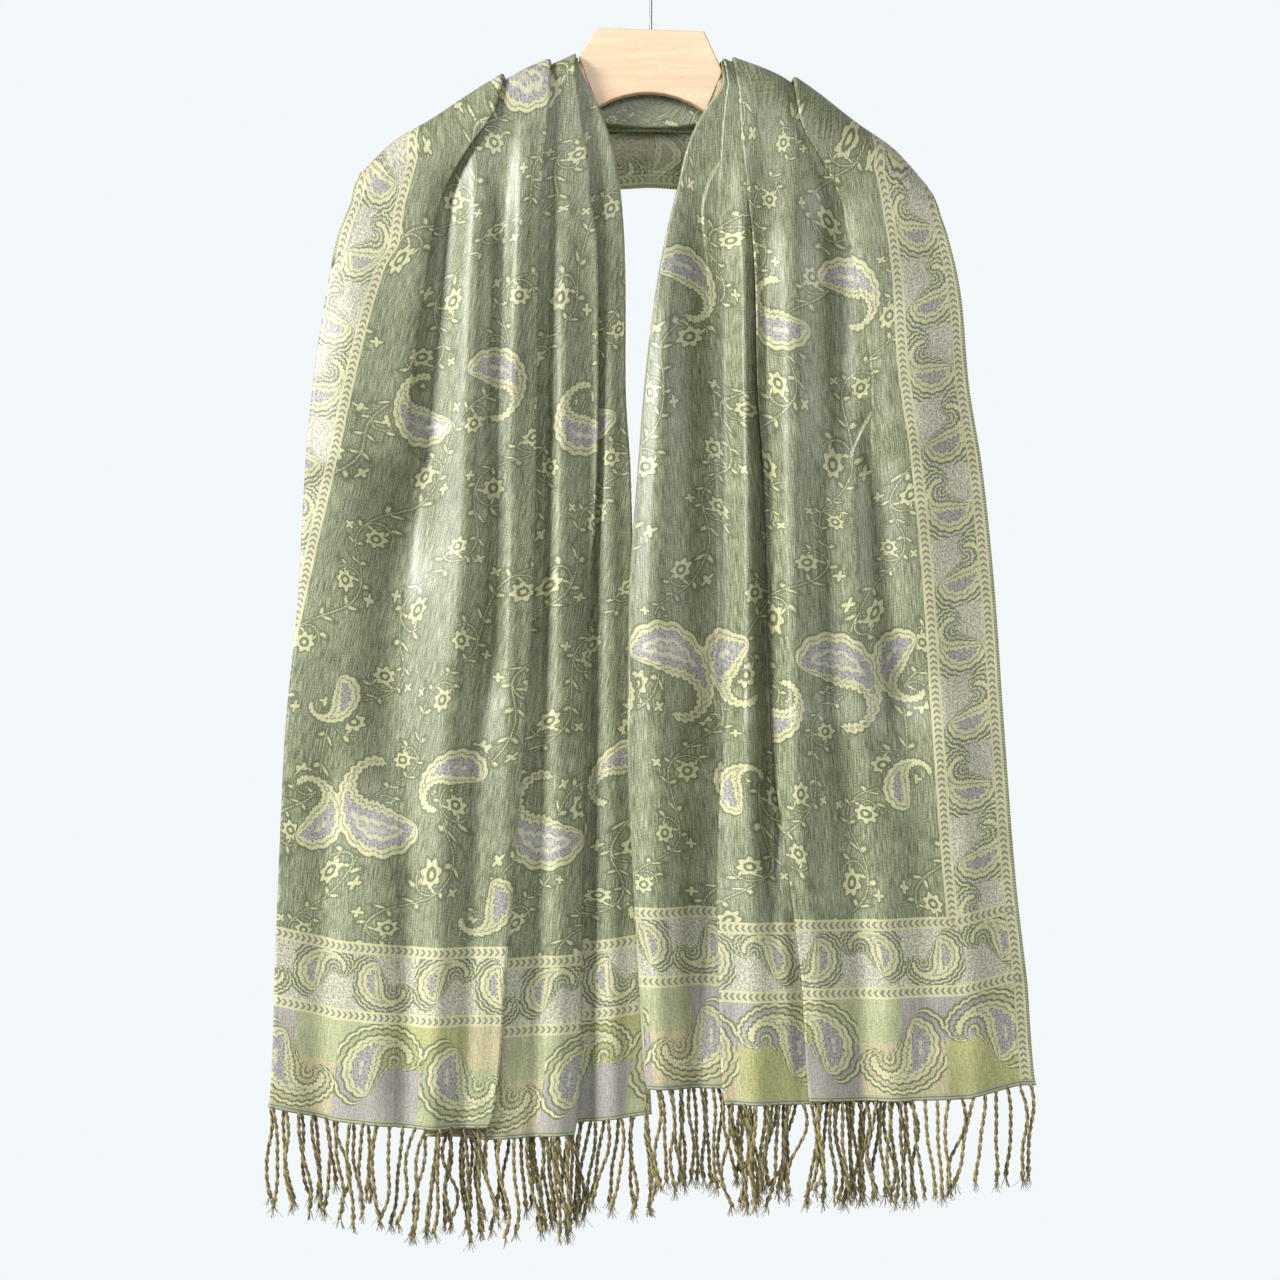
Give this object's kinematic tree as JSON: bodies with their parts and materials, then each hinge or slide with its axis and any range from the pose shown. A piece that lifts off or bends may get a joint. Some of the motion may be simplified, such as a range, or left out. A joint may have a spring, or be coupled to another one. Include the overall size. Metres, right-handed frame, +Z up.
{
  "type": "jacquard shawl on a hanger",
  "caption": "Folded jacquard shawl with twisted fringe, laid over a flat wooden hanger with a wire hook, both ends hanging in front.",
  "frame": {"origin": "the inner crown of the wire hook, where a rail carries it", "axes": "+Z up, -Y the front of the hanging shawl, +X to the right seen from the front"},
  "size_m": [0.5796, 0.0678, 0.9945],
  "materials": {
    "cloth": "sage and olive jacquard with cream motifs",
    "fringe": "twisted dark green and tan yarn",
    "wood": "light wood, satin",
    "wire": "thin steel wire"
  },
  "bodies": {
    "root": {"front_left": "cloth", "front_right": "cloth", "back_neck": "cloth", "fringe_left": "fringe", "fringe_right": "fringe", "hanger": "wood", "hook": "wire"}
  },
  "joints": []
}
